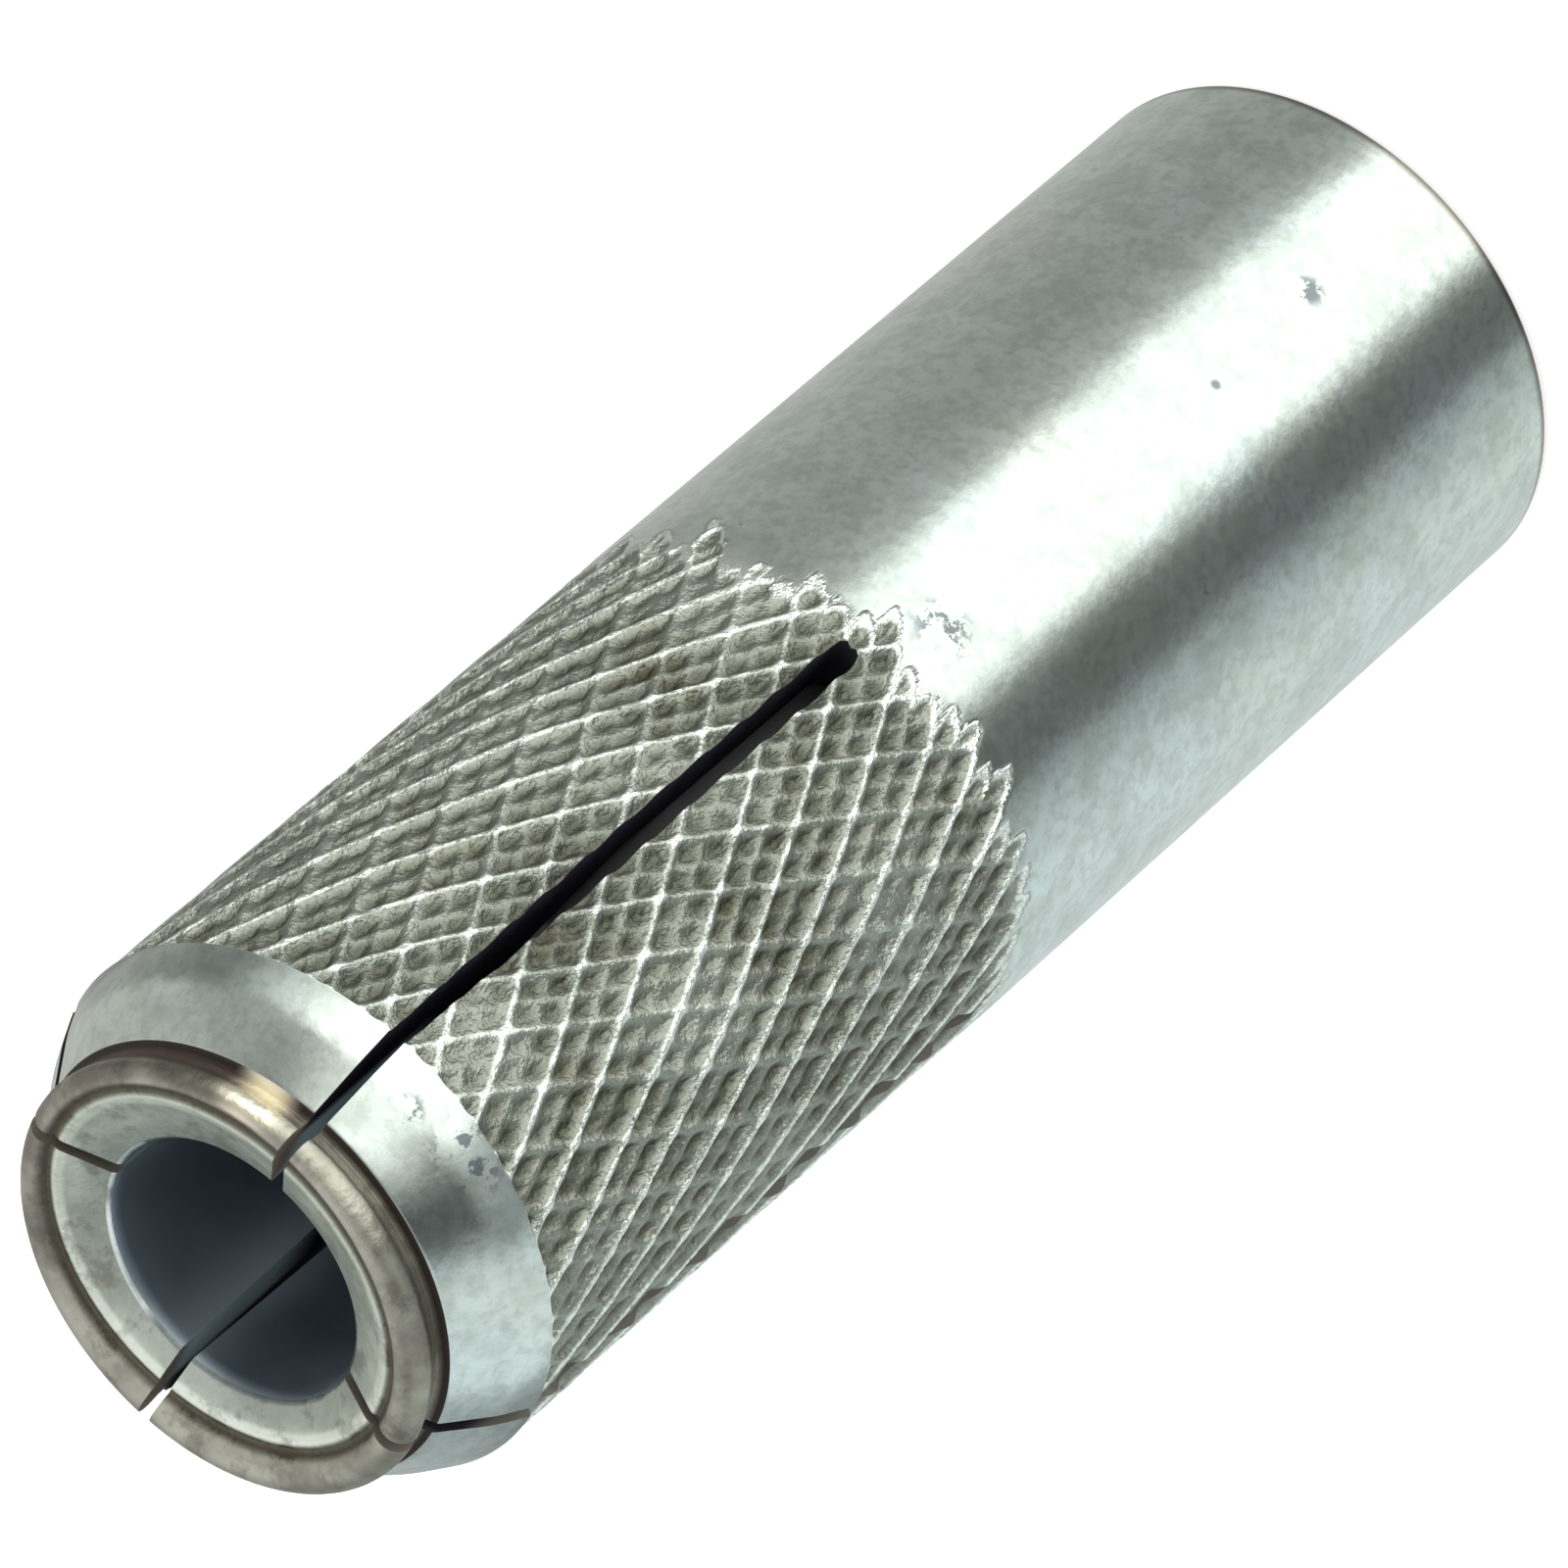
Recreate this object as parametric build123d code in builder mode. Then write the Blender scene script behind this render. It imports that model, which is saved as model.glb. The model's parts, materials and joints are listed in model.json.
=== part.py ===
import os
from math import cos, pi, radians, sin, tan

from build123d import *

# Knurled drop-in expansion anchor: a slotted sleeve with a loose expander plug inside.
# It stands on its threaded mouth with the nose up. All lengths are in millimetres.

# Thread and outside of the sleeve
thread_minor_radius = 3.32
thread_wall = 1.505
sleeve_length = 30.0
rim_chamfer = 0.1

# Diamond knurl, from the middle of the sleeve to the collar: two families of ridges that cross
knurl_start = 15.0
knurl_teeth = 58
knurl_helix = 27.0
knurl_depth = 0.2
knurl_relief = 0.02

# Nose: collar crimped in, a groove, then a rounded bead. Levels are measured back from the
# nose's tip, and drops are measured in from the outside
knurl_end_back = 2.35
collar_edge_back = 1.7
collar_drop = 0.305
groove_edge_back = 0.88
groove_edge_drop = 0.845
groove_back = 0.78
groove_drop = 1.075
bead_middle_drop = 1.225
bead_round = 0.33
bead_steps = 6
bead_flank_angle = 30.0
face_slope = 24.0
bore_edge_chamfer = 0.08

# Slots, sawn in from the nose and closed up towards it by the crimping
slot_count = 4
slot_start = 15.75
slot_width = 0.48
slot_crimp_length = 8.0
slot_width_nose = 0.2

# Bore
thread_length = 13.0
mouth_chamfer = 0.8
plug_shoulder = 0.28
nose_wall = 2.435
nose_bore_length = 4.4
taper_length = 4.0

# Expander plug
plug_clearance = 0.08
plug_seat_gap = 0.05
plug_travel = 1.5
plug_back_chamfer = 0.1
plug_tip_chamfer = 0.3
plug_cone_length = 2.8

# Outside of the sleeve, from the sizes above
sleeve_radius = thread_minor_radius + thread_wall
knurl_end = sleeve_length - knurl_end_back
knurl_peak_radius = sleeve_radius - knurl_relief
groove_radius = sleeve_radius - groove_drop
bead_middle = sleeve_length - bead_round
bead_middle_radius = sleeve_radius - bead_middle_drop
bead_turn = bead_flank_angle + 90 + face_slope
bead_angles = [radians(bead_turn * step / bead_steps - bead_flank_angle) for step in range(bead_steps + 1)]
bead = [(bead_middle_radius + bead_round * cos(a), bead_middle + bead_round * sin(a)) for a in bead_angles]
bead_foot = bead[0][1] - (bead[0][0] - groove_radius) / tan(radians(bead_flank_angle))

# Bore and plug, from the sizes above
chamber_radius = thread_minor_radius + plug_shoulder
nose_bore_radius = sleeve_radius - nose_wall
face_fall = (bead_middle_radius - nose_bore_radius) * tan(radians(face_slope))
bore_face = bead_middle + bead_round / cos(radians(face_slope)) - face_fall
taper_end = bore_face - nose_bore_length
taper_start = taper_end - taper_length
taper_slope = (chamber_radius - nose_bore_radius) / taper_length
plug_back = thread_length + plug_seat_gap
plug_radius = chamber_radius - plug_clearance
plug_cone_start = taper_start - plug_travel
plug_front = plug_cone_start + plug_cone_length
plug_tip_radius = plug_radius - taper_slope * plug_cone_length


def knurl_corner(row, step, height):
    """Point of the knurled surface: pits and ridge crossings take turns round every row."""
    radius = knurl_peak_radius - knurl_depth if (row + step) % 2 == 0 else knurl_peak_radius
    angle = pi * step / knurl_teeth
    return Vector(radius * cos(angle), radius * sin(angle), knurl_start + row * height)


def knurl_facets(row, step, height):
    """Two flat triangles between one row and the next, folded along the crest of a ridge."""
    near = knurl_corner(row, step, height)
    side = knurl_corner(row, step + 1, height)
    across = knurl_corner(row + 1, step + 1, height)
    above = knurl_corner(row + 1, step, height)
    if (row + step) % 2 == 0:
        corners = ((near, side, above), (side, across, above))
    else:
        corners = ((near, side, across), (near, across, above))
    return [Face(Wire.make_polygon(triangle, close=True)) for triangle in corners]


def knurl_end_face(row, height):
    """Flat star that closes the knurled band at one end."""
    rim = [knurl_corner(row, step, height) for step in range(2 * knurl_teeth)]
    return Face(Wire.make_polygon(rim, close=True))


def knurl_band():
    """Solid band of four-sided pits between right-hand and left-hand ridges."""
    pitch = 2 * pi * knurl_peak_radius / knurl_teeth
    rows = round((knurl_end - knurl_start) * 2 * tan(radians(knurl_helix)) / pitch)
    height = (knurl_end - knurl_start) / rows
    faces = [knurl_end_face(0, height), knurl_end_face(rows, height)]
    for row in range(rows):
        for step in range(2 * knurl_teeth):
            faces += knurl_facets(row, step, height)
    return Solid(Shell(faces))


# Space inside the sleeve: mouth, thread bore, plug chamber, taper and nose bore, with the slots
overrun = 1.0
slot_planes = [Plane.XZ.rotated((0, 0, 360 / slot_count * number)) for number in range(slot_count)]
with BuildPart() as hollow:
    with BuildSketch(Plane.XZ):
        with BuildLine():
            Polyline(
                (0, -overrun),
                (thread_minor_radius + mouth_chamfer + overrun, -overrun),
                (thread_minor_radius, mouth_chamfer),
                (thread_minor_radius, thread_length),
                (chamber_radius, thread_length),
                (chamber_radius, taper_start),
                (nose_bore_radius, taper_end),
                (nose_bore_radius, bore_face - bore_edge_chamfer),
                (nose_bore_radius + bore_edge_chamfer + overrun, bore_face + overrun),
                (0, bore_face + overrun),
                close=True,
            )
        make_face()
    revolve(axis=Axis.Z)
    with BuildSketch(*slot_planes):
        with BuildLine():
            Polyline(
                (-slot_width / 2, slot_start),
                (slot_width / 2, slot_start),
                (slot_width / 2, sleeve_length - slot_crimp_length),
                (slot_width_nose / 2, sleeve_length + overrun),
                (-slot_width_nose / 2, sleeve_length + overrun),
                (-slot_width / 2, sleeve_length - slot_crimp_length),
                close=True,
            )
        make_face()
    extrude(amount=sleeve_radius + overrun)

# Sleeve: turned outside, knurled band let in between the plain part and the collar, then bored
band_seat_radius = knurl_peak_radius - knurl_depth - knurl_depth
with BuildPart() as sleeve:
    with BuildSketch(Plane.XZ):
        with BuildLine():
            Polyline(
                (0, 0),
                (sleeve_radius - rim_chamfer, 0),
                (sleeve_radius, rim_chamfer),
                (sleeve_radius, knurl_start),
                (band_seat_radius, knurl_start),
                (band_seat_radius, knurl_end),
                (sleeve_radius, knurl_end),
                (sleeve_radius - collar_drop, sleeve_length - collar_edge_back),
                (sleeve_radius - groove_edge_drop, sleeve_length - groove_edge_back),
                (groove_radius, sleeve_length - groove_back),
                (groove_radius, bead_foot),
                *bead,
                (nose_bore_radius, bore_face),
                (0, bore_face),
                close=True,
            )
        make_face()
    revolve(axis=Axis.Z)
    add(knurl_band())
    add(hollow.part, mode=Mode.SUBTRACT)
sleeve.part.label = "sleeve"

# Expander plug: a plain slug with the same taper in front as the sleeve's bore
with BuildPart() as expander_plug:
    with BuildSketch(Plane.XZ):
        with BuildLine():
            Polyline(
                (0, plug_back),
                (plug_radius - plug_back_chamfer, plug_back),
                (plug_radius, plug_back + plug_back_chamfer),
                (plug_radius, plug_cone_start),
                (plug_tip_radius, plug_front),
                (0, plug_front),
                close=True,
            )
        make_face()
    revolve(axis=Axis.Z)
    chamfer(expander_plug.edges().group_by(Axis.Z)[-1], plug_tip_chamfer)
expander_plug.part.label = "expander_plug"

os.makedirs("parts", exist_ok=True)
export_step(sleeve.part, "parts/sleeve.step")
export_step(expander_plug.part, "parts/expander_plug.step")
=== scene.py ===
import json
from math import cos, pi, radians, sin, tan

import bmesh
import bpy
import numpy as np
from mathutils import Matrix, Vector


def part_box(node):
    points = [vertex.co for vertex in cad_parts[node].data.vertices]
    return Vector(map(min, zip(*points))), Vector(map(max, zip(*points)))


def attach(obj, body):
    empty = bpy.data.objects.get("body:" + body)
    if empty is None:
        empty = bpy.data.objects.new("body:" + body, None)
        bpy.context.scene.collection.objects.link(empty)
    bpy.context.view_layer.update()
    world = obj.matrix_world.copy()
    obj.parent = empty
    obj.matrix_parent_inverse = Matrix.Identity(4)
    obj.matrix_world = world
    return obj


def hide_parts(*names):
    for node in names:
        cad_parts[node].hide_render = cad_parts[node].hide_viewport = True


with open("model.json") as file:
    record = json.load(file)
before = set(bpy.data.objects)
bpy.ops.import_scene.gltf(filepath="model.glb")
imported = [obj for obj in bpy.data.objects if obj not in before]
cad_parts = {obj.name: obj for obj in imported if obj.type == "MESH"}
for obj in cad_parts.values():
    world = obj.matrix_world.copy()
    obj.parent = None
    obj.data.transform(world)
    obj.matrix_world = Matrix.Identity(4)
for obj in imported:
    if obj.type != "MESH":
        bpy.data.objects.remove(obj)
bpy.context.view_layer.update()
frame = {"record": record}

# Looks of a knurled drop-in expansion anchor: the plated sleeve, the plug inside it, and a light tent.
# Lengths in the dictionaries are millimetres and angles are degrees; mm turns a length into metres.
mm = 0.001
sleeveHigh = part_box("sleeve")[1]
plugLow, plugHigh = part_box("expander_plug")
threadHole = next(mount for mount in frame["record"]["mounts"] if mount["name"] == "m8_thread")
weldGap = 1e-7   # metres; points closer than this are one point
smoothBelow = 50   # degrees; steeper folds are drawn as crisp edges


def putInScene(name, data):
    # A new object in the scene, at the origin
    made = bpy.data.objects.new(name, data)
    bpy.context.scene.collection.objects.link(made)
    return made


class Patchwork:
    # Grids and strips of points that together close one mesh, with a finish number for every face
    def __init__(self):
        self.points = np.zeros((0, 3))
        self.faces = []
        self.finishes = []

    def place(self, sheet):
        # Keeps the points of an array whose last axis is x, y, z, and gives their numbers in its layout
        numbers = len(self.points) + np.arange(sheet[..., 0].size).reshape(sheet.shape[:-1])
        self.points = np.vstack((self.points, sheet.reshape(-1, 3)))
        return numbers

    def keep(self, faces, finish):
        # Triangles that have one point twice, as where two chains meet, are left out
        if faces.shape[1] == 3:
            faces = faces[np.all(faces != np.roll(faces, 1, axis=1), axis=1)]
        self.faces.append(faces)
        self.finishes.append(np.full(len(faces), finish))

    def tiles(self, numbers, finish, leaning=None):
        # One quad for each cell of a rows by columns grid. Where leaning is given, each cell is two
        # triangles, cut from side to above where it leans and from near to across where it doesn't
        near, side = numbers[:-1, :-1], numbers[:-1, 1:]
        above, across = numbers[1:, :-1], numbers[1:, 1:]
        if leaning is None:
            self.keep(np.stack((near, side, across, above), axis=-1).reshape(-1, 4), finish)
            return
        leaning = leaning[..., None]
        lower = np.where(leaning, np.stack((near, side, above), -1), np.stack((near, side, across), -1))
        upper = np.where(leaning, np.stack((side, across, above), -1), np.stack((near, across, above), -1))
        self.keep(lower.reshape(-1, 3), finish)
        self.keep(upper.reshape(-1, 3), finish)

    def stitch(self, first, second, firstPlace, secondPlace, finish):
        # Triangles between two chains of points. Each step of one chain takes the point of the other
        # chain that is level with the step's middle, so any two counts of points can be joined
        firstMiddle = (firstPlace[1:] + firstPlace[:-1]) / 2
        secondMiddle = (secondPlace[1:] + secondPlace[:-1]) / 2
        level = np.searchsorted(secondMiddle, firstMiddle)
        self.keep(np.stack((first[:-1], first[1:], second[level]), axis=-1), finish)
        level = np.searchsorted(firstMiddle, secondMiddle, side="right")
        self.keep(np.stack((second[1:], second[:-1], first[level]), axis=-1), finish)

    def piece(self, name, finishes):
        # The mesh object: unused points left out, doubles merged, outside out, folds crisp
        used = np.concatenate([faces.ravel() for faces in self.faces])
        corners, order = np.unique(used, return_inverse=True)
        sizes = np.concatenate([np.full(len(faces), faces.shape[1]) for faces in self.faces])
        mesh = bpy.data.meshes.new(name)
        mesh.vertices.add(len(corners))
        mesh.vertices.foreach_set("co", self.points[corners].ravel())
        mesh.loops.add(len(order))
        mesh.loops.foreach_set("vertex_index", order.ravel())
        mesh.polygons.add(len(sizes))
        mesh.polygons.foreach_set("loop_start", np.cumsum(sizes) - sizes)
        for finish in finishes:
            mesh.materials.append(finish)
        mesh.polygons.foreach_set("material_index", np.concatenate(self.finishes))
        mesh.update(calc_edges=True)
        shape = bmesh.new()
        shape.from_mesh(mesh)
        bmesh.ops.remove_doubles(shape, verts=shape.verts, dist=weldGap)
        bmesh.ops.recalc_face_normals(shape, faces=shape.faces)
        shape.to_mesh(mesh)
        shape.free()
        mesh.polygons.foreach_set("use_smooth", np.ones(len(mesh.polygons), bool))
        mesh.set_sharp_from_angle(angle=radians(smoothBelow))
        return putInScene(name, mesh)


def turned(radius, angle, height):
    # Point on a turned surface: x = radius cos(angle), y = radius sin(angle), z = height
    radius, angle, height = np.broadcast_arrays(radius, angle, height)
    return mm * np.stack((radius * np.cos(angle), radius * np.sin(angle), height), axis=-1)


def ease(share):
    # Soft step from 0 to 1: 3 s squared less 2 s cubed, with s held between 0 and 1
    share = np.clip(share, 0, 1)
    return share * share * (3 - 2 * share)


def softened(corners, steps=4):
    # Outline through (radius, height, cut) corners: a corner with a cut becomes the quadratic curve between
    # the two points that lie that far along its sides
    outline = []
    for number, (radius, height, cut) in enumerate(corners):
        here = np.array((radius, height))
        if cut == 0:
            outline.append(here[None])
            continue
        before, after = np.array(corners[number - 1][:2]), np.array(corners[number + 1][:2])
        start = here + cut * (before - here) / np.linalg.norm(before - here)
        end = here + cut * (after - here) / np.linalg.norm(after - here)
        t = np.linspace(0, 1, steps + 1)[:, None]
        outline.append((1 - t) ** 2 * start + 2 * t * (1 - t) * here + t ** 2 * end)
    return np.concatenate(outline)


# Sleeve. Its radius and length are the frame's
sleeveShape = {
    "radius": sleeveHigh.y / mm, "length": sleeveHigh.z / mm,
    "rimRound": 0.1, "rimSteps": 6, "plainColumns": 288, "plainRows": 3, "plainGap": 0.25,
    "knurlStart": 14.494, "knurlEnd": 27.65, "crestRelief": 0.02,
    "columns": 145, "edgeColumn": 3, "freeColumn": 12, "noseColumns": 46,
}
slotShape = {
    "start": 15.75, "width": 0.48, "crimpFrom": 22.0, "crimpTo": sleeveHigh.z / mm + 1, "nose": 0.2,
    "relax": 0.7, "endRound": 0.26, "endWidth": 0.4,
}
knurlShape = {
    "teeth": 58, "rows": 26, "rowCuts": 5, "depth": 0.2, "sharpness": 1.25, "blend": 2.8,
    "weak": (0.66, 0.78), "press": 0.36, "luck": 0.42, "wander": 0.11, "uneven": (0.126, 0.546),
    "driftWaves": 7, "driftTurns": (2, 9), "driftClimb": 1.6,
    "crestRamp": 2.0, "fadeIn": 0.8, "ragged": 0.9, "fadeOut": 0.1, "seed": 27,
}
noseShape = {
    "firstDrop": 0.012, "firstRise": 0.03, "collarRound": 0.14, "coneRound": 0.07, "grooveRound": 0.02,
    "collarRadius": 4.52, "collarHeight": 28.3, "grooveEdgeRadius": 3.98, "grooveEdgeHeight": 29.17,
    "grooveRadius": 3.78, "grooveHeight": 29.25, "footHeight": 29.34,
    "beadRadius": 3.6, "beadHeight": 29.67, "beadRound": 0.33, "beadFrom": -46, "beadSteps": 18,
    "faceSlope": 24, "faceSteps": 34, "boreRadius": 2.39, "boreFace": 29.4925, "boreEdge": 0.035,
    "valleyRadius": 3.36, "valleySway": 0.25, "valleyTurn": -72, "valleyDepth": 0.08, "valleyWidth": 0.09,
    "boreTop": 29.2,
}
boreShape = {
    "columns": 24, "edgeColumn": 1, "freeColumn": 3, "chamberRadius": 3.6, "chamberFrom": 13.0,
    "taperFrom": 21.0925, "taperTo": 25.0925, "boreMiddle": 27.0, "boreTop": 29.0,
}
threadShape = {
    "minor": threadHole["dims"]["r_mm"], "major": 4.0, "pitch": 1.25, "mouthCut": 0.8,
    "fadeFrom": 10.9, "fadeTo": 12.5, "end": 12.7,
    "rootFlat": 0.125, "rootRise": 0.03, "crestFlat": 0.25, "lead": 0.2,
}
plateNumber, boreNumber, sawnNumber, faceNumber = 0, 1, 2, 3   # the sleeve's finishes in order


def slotHalfWidth(height):
    # Half the slot's width: even, then a straight line to the nose, where the crimping closes it. Over
    # the last stretch to the blind end it follows a quarter of an ellipse
    s = slotShape
    share = np.clip((height - s["crimpFrom"]) / (s["crimpTo"] - s["crimpFrom"]), 0, 1)
    fromEnd = np.clip((height - s["start"]) / s["endRound"], 0, 1)
    rounding = s["endWidth"] + (1 - s["endWidth"]) * np.sqrt(1 - (1 - fromEnd) ** 2)
    return (s["width"] + (s["nose"] - s["width"]) * share) * rounding / 2


def quarterAngles(height, radius, columns, edge, free):
    # Angles across a quarter turn, slot middle to slot middle. Columns up to edge share the slot's half
    # width, columns from edge to free draw up to the slot's flat wall, and the others are even. Below the
    # slot's blind end the drawing dies away, and all columns are even
    step = np.arange(columns + 1)
    fromSlot = np.minimum(step, columns - step)
    even = fromSlot * (pi / 2 / columns)
    wall = np.arcsin(slotHalfWidth(height) / radius)
    share = np.clip((fromSlot - edge) / (free - edge), 0, 1)
    drawn = wall + (free * pi / 2 / columns - wall) * share
    drawn = np.where(fromSlot < edge, wall * fromSlot / edge, drawn)
    drawn = np.where(fromSlot >= free, even, drawn)
    grip = ease((height - slotShape["start"] + slotShape["relax"]) / slotShape["relax"])
    angle = even + grip * (drawn - even)
    return np.where(step > columns / 2, pi / 2 - angle, angle)


def knurlRise(angle, height):
    # Share of the knurl's height, 0 in a pit and 1 on a crest. Ridges run along angle + height and along
    # angle - height. Each is a raised cosine to the power of its sharpness, every second one is weak, and
    # each family is pressed less hard on one side. Where two ridges meet, their blend-th powers add up
    k = knurlShape
    luck = np.random.default_rng(k["seed"])
    rowHeight = (sleeveShape["knurlEnd"] - sleeveShape["knurlStart"]) / k["rows"]
    step = angle * k["teeth"] / pi
    row = (height - sleeveShape["knurlStart"]) / rowHeight + 1   # the solid's first row is one row up
    turns = luck.integers(*k["driftTurns"], k["driftWaves"])
    climbs = luck.uniform(-k["driftClimb"], k["driftClimb"], k["driftWaves"])
    phases = luck.uniform(0, 2 * pi, k["driftWaves"])
    drift = np.zeros(np.broadcast(angle, height).shape)
    for turn, climb, phase in zip(turns, climbs, phases):
        drift = drift + np.sin(turn * angle + climb * height + phase) / k["driftWaves"]
    rise, start = 0, None
    for side, weakness in zip((1, -1), k["weak"]):
        place = (step + side * row) / 2 + 0.5 + side * k["wander"] * drift
        nearest = np.round(place)
        wave = (0.5 + 0.5 * np.cos(2 * pi * (place - nearest))) ** k["sharpness"]
        wave = wave * (1 - k["press"] * (0.5 + 0.5 * side * np.cos(angle)))
        weak = weakness * (1 - k["luck"] * luck.random(k["teeth"]))
        strength = np.where(np.arange(k["teeth"]) % 2 == 0, 1, weak)
        wave = wave * strength[nearest.astype(int) % k["teeth"]]
        if start is None:
            # Every groove of the first family starts at a random height and deepens to a notch from there
            edge = k["ragged"] * luck.random(k["teeth"])[np.floor(place).astype(int) % k["teeth"]]
            start = np.clip((height - sleeveShape["knurlStart"] - edge) / k["fadeIn"], 0, 1)
        else:
            wave = wave * start
        rise = rise + wave ** k["blend"]
    rise = np.minimum(rise ** (1 / k["blend"]), 1)
    rise = rise + (1 - rise) * (k["uneven"][0] + k["uneven"][1] * drift)
    end = np.clip((sleeveShape["knurlEnd"] - height) / k["fadeOut"], 0, 1)
    return 1 - np.maximum(start - rise, 0) * end


def knurlSheet(patches):
    # Knurled outside, four quarters of a rows by columns grid: radius = crest less depth (1 - rise), where
    # the crest sinks a little on the way in. A cell is folded along the nearer of the two groove directions
    rows = knurlShape["rows"] * knurlShape["rowCuts"]
    height = np.linspace(sleeveShape["knurlStart"], sleeveShape["knurlEnd"], rows + 1)
    blindRow = np.argmin(np.abs(height - slotShape["start"]))
    height[blindRow] = slotShape["start"]
    height = height[:, None]
    columns, edge, free = sleeveShape["columns"], sleeveShape["edgeColumn"], sleeveShape["freeColumn"]
    quarter = np.arange(4)[:, None, None] * pi / 2
    sunk = ease((height - sleeveShape["knurlStart"]) / knurlShape["crestRamp"])
    crest = sleeveShape["radius"] - sleeveShape["crestRelief"] * sunk
    radius = np.zeros((4, 1, columns + 1)) + crest
    for settle in range(2):   # a slot wall's angle depends on the radius, and the radius on the angle
        angle = quarter + quarterAngles(height, radius, columns, edge, free)
        radius = crest - knurlShape["depth"] * (1 - knurlRise(angle, height))
    angle = quarter + quarterAngles(height, radius, columns, edge, free)
    numbers = patches.place(turned(radius, angle, height))
    cuts = knurlShape["rowCuts"]
    for number in range(4):
        column = number * columns + np.arange(columns)
        row = np.arange(rows)[:, None]
        falling = np.abs((row + column + 1 + cuts / 2) % cuts - cuts / 2)
        rising = np.abs((column - row + cuts / 2) % cuts - cuts / 2)
        leaning = falling < rising
        patches.tiles(numbers[number, :blindRow + 1], plateNumber, leaning[:blindRow])
        sheet = numbers[number, blindRow:, edge:columns - edge + 1]
        patches.tiles(sheet, plateNumber, leaning[blindRow:, edge:columns - edge])
    return numbers, blindRow


def plainSheet(patches, knurl):
    # Plain outside below the knurl: the rim's quarter round, then a straight cylinder that is stitched to
    # the knurl's first row
    s = sleeveShape
    turn = np.radians(np.linspace(-90, 0, s["rimSteps"] + 1))
    radius = s["radius"] - s["rimRound"] + s["rimRound"] * np.cos(turn)
    height = s["rimRound"] + s["rimRound"] * np.sin(turn)
    levels = np.linspace(0, s["knurlStart"] - s["plainGap"], s["plainRows"] + 1)[1:]
    radius = np.concatenate((radius, np.full(s["plainRows"], s["radius"])))[:, None]
    height = np.concatenate((height, levels))[:, None]
    around = np.linspace(0, 2 * pi, s["plainColumns"] + 1)
    numbers = patches.place(turned(radius, around, height))
    patches.tiles(numbers, plateNumber)
    ring = np.concatenate([quarter[0, :-1] for quarter in knurl] + [knurl[0][0, :1]])
    patches.stitch(numbers[-1], ring, around, np.linspace(0, 2 * pi, len(ring)), plateNumber)
    return numbers[0], around


def noseOutline():
    # Collar, cone, groove, bead and dished face as (radius, height) points: straight lines with softened
    # corners, an arc for the bead, and a straight slope for the face
    n = noseShape
    collar = softened((
        (sleeveShape["radius"] - n["firstDrop"], sleeveShape["knurlEnd"] + n["firstRise"], 0),
        (n["collarRadius"], n["collarHeight"], n["collarRound"]),
        (n["grooveEdgeRadius"], n["grooveEdgeHeight"], n["coneRound"]),
        (n["grooveRadius"], n["grooveHeight"], n["grooveRound"]),
        (n["beadRadius"] + n["beadRound"] * cos(radians(n["beadFrom"])), n["footHeight"], 0),
    ))
    turn = np.radians(np.linspace(n["beadFrom"], 90 + n["faceSlope"], n["beadSteps"] + 1))
    bead = np.stack((n["beadRadius"] + n["beadRound"] * np.cos(turn),
                     n["beadHeight"] + n["beadRound"] * np.sin(turn)), axis=-1)
    slope = tan(radians(n["faceSlope"]))
    edgeRadius = n["boreRadius"] + n["boreEdge"] / (1 - slope)
    radius = np.linspace(bead[-1, 0], edgeRadius, n["faceSteps"] + 1)[1:]
    height = n["boreFace"] + (radius - n["boreRadius"]) * slope
    face = np.stack((radius, height), axis=-1)
    bore = np.array(((n["boreRadius"], n["boreFace"] - n["boreEdge"]), (n["boreRadius"], n["boreTop"])))
    return np.concatenate((collar, bead, face, bore)), len(collar) + int(np.argmax(bead[:, 1]))


def crimpValley(radius, angle):
    # Depth of the valley that the crimping tool left round the face: a bell curve across a ring whose
    # radius sways once a turn, because the nose isn't quite round
    n = noseShape
    ring = n["valleyRadius"] + n["valleySway"] * np.cos(angle - radians(n["valleyTurn"]))
    return n["valleyDepth"] * np.exp(-((radius - ring) / n["valleyWidth"]) ** 2)


def noseSheet(patches, knurl):
    # Nose, four segments. Each row runs evenly from one slot wall to the next
    outline, tip = noseOutline()
    away = outline - (noseShape["grooveEdgeRadius"], noseShape["grooveEdgeHeight"])
    groove = int(np.argmin(np.hypot(*away.T)))   # the row where the plate turns brown
    radius, height = outline[:, :1], outline[:, 1:]
    wall = np.arcsin(slotHalfWidth(height) / radius)
    across = np.linspace(0, 1, sleeveShape["noseColumns"] + 1)
    edge = sleeveShape["edgeColumn"]
    quarters = []
    for number in range(4):
        angle = number * pi / 2 + wall + across * (pi / 2 - 2 * wall)
        numbers = patches.place(turned(radius, angle, height - crimpValley(radius, angle)))
        patches.tiles(numbers[:groove + 1], plateNumber)
        patches.tiles(numbers[groove:-1], faceNumber)
        patches.tiles(numbers[-2:], boreNumber)
        last = knurl[number][-1, edge:sleeveShape["columns"] - edge + 1]
        patches.stitch(numbers[0], last, across, np.linspace(0, 1, len(last)), plateNumber)
        quarters.append(numbers)
    return quarters, tip


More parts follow.
